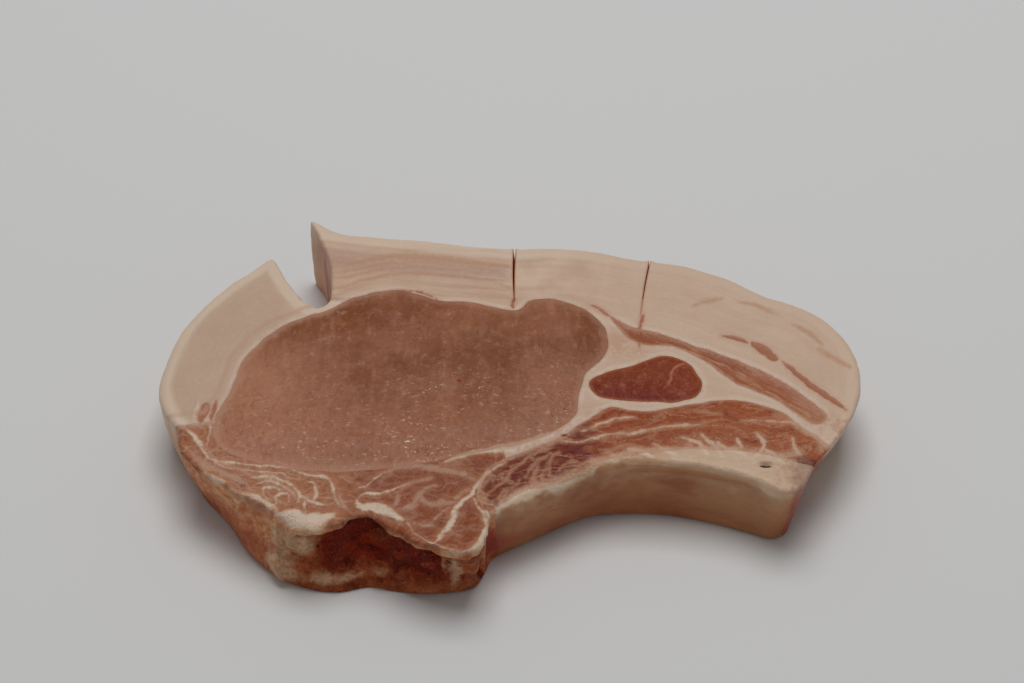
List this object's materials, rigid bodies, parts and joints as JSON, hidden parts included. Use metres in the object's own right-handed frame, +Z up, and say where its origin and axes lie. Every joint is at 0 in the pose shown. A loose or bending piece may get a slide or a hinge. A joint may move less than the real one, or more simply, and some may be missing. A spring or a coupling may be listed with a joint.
{
  "type": "raw pork chop",
  "caption": "Raw bone-in pork loin chop lying flat, with a scored fat cap, round loin eye, small dark muscle, lean strip, curved rib and sawn chine bone.",
  "frame": {"origin": "middle of the resting face, under the middle of the chop's box", "axes": "+X along the chop towards the belly end, +Y towards the fat cap, +Z up from the resting face"},
  "size_m": [0.1868, 0.1172, 0.023],
  "materials": {
    "fat": "waxy, cream white",
    "loin_lean": "moist, fine grained",
    "dark_lean": "moist, dark red",
    "strip_lean": "moist",
    "rib_lean": "moist, streaked with fat",
    "chine_lean": "moist, veined with white seams",
    "rib_membrane": "smooth, moist membrane",
    "sawn_bone": "rough, red marrow"
  },
  "bodies": {
    "root": {"fat_cap": "fat", "loin_eye": "loin_lean", "cap_muscle": "dark_lean", "lean_strip": "strip_lean", "rib_meat": "rib_lean", "chine_meat": "chine_lean", "rib": "rib_membrane", "chine_bone": "sawn_bone"}
  },
  "joints": []
}
